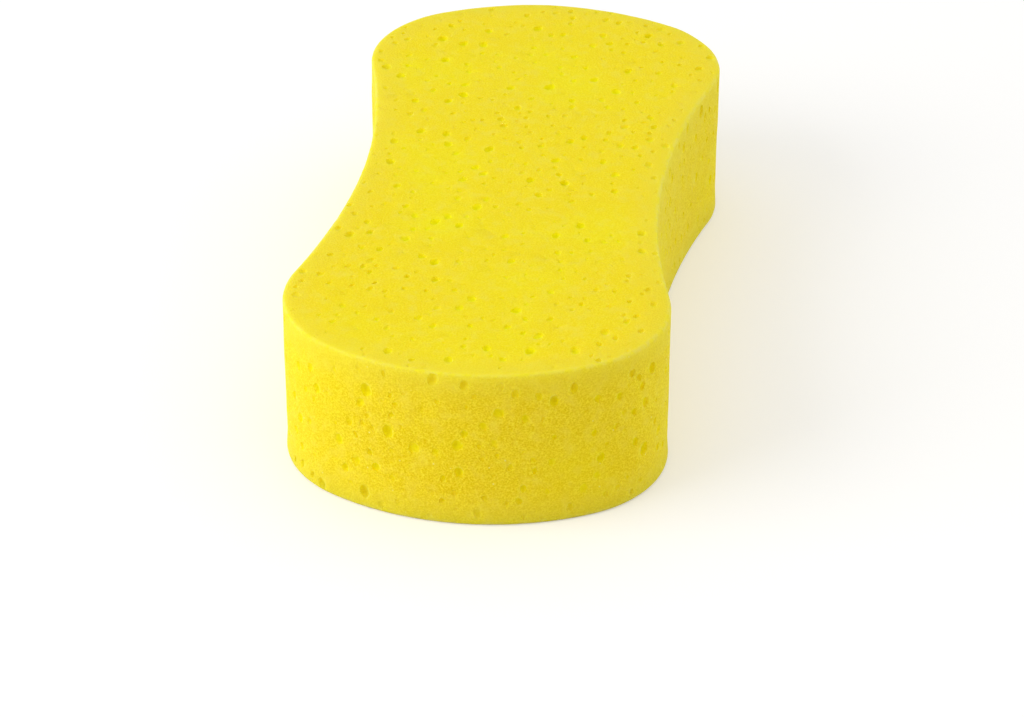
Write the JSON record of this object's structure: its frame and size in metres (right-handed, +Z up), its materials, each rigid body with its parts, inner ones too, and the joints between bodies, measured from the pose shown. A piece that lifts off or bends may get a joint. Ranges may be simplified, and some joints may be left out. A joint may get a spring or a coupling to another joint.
{
  "type": "cleaning sponge",
  "caption": "Waisted block of open-cell foam with soft rounded edges and large surface pores, gripped by hand at its waist.",
  "frame": {"origin": "middle of the bottom face, on the surface that the block lies on", "axes": "+X along the block, +Y across it, +Z up through its thickness"},
  "size_m": [0.22, 0.105, 0.047],
  "materials": {
    "foam": "matte open-cell foam"
  },
  "bodies": {
    "root": {"sponge": "foam"}
  },
  "joints": []
}
